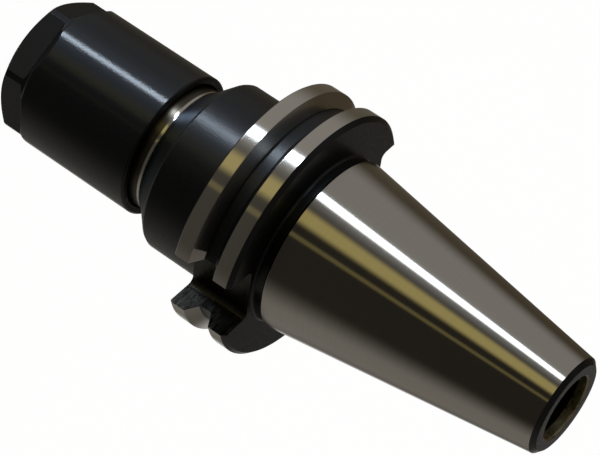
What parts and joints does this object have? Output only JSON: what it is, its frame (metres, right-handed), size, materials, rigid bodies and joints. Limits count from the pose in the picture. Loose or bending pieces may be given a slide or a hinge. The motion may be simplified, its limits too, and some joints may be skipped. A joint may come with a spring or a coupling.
{
  "type": "collet chuck holder",
  "caption": "Steep taper collet chuck holder with a V-flange and drive slots, a long round collet nut with a hexagon front, and a slit double-angle collet inside.",
  "frame": {"origin": "centre of the nut's front face, which is the bottom of the part", "axes": "+Z along the axis from the nut towards the small end of the taper, +X through the deeper drive slot"},
  "size_m": [0.0614, 0.0634, 0.1528],
  "materials": {
    "holder_steel": "ground taper and flange lands, black oxide elsewhere",
    "nut_steel": "black oxide",
    "ring_steel": "hardened and ground, lightly blackened",
    "spring_steel": "phosphated spring steel",
    "collet_steel": "ground",
    "screw_steel": "black oxide"
  },
  "bodies": {
    "holder": {"holder_body": "holder_steel"},
    "collet_set": {"collet": "collet_steel", "thrust_ring": "ring_steel"},
    "nut": {"clamp_nut": "nut_steel", "snap_ring": "spring_steel"},
    "stop": {"stop_screw": "screw_steel"}
  },
  "joints": [
    {"name": "nut_travel", "type": "slide", "parent": "holder", "child": "collet_set", "axis": [0, 0, -1], "range_m": [0, 0.01588]},
    {"name": "nut_turn", "type": "hinge", "parent": "collet_set", "child": "nut", "pos_m": [0, 0, 0.02], "axis": [0, 0, -1], "range_deg": [0, 3600]},
    {"name": "stop_travel", "type": "slide", "parent": "holder", "child": "stop", "axis": [0, 0, 1], "range_m": [-0.003, 0.015]}
  ],
  "couplings": [
    {"joint": "nut_travel", "follows": "nut_turn", "m_per_rad": 0.00025266}
  ]
}
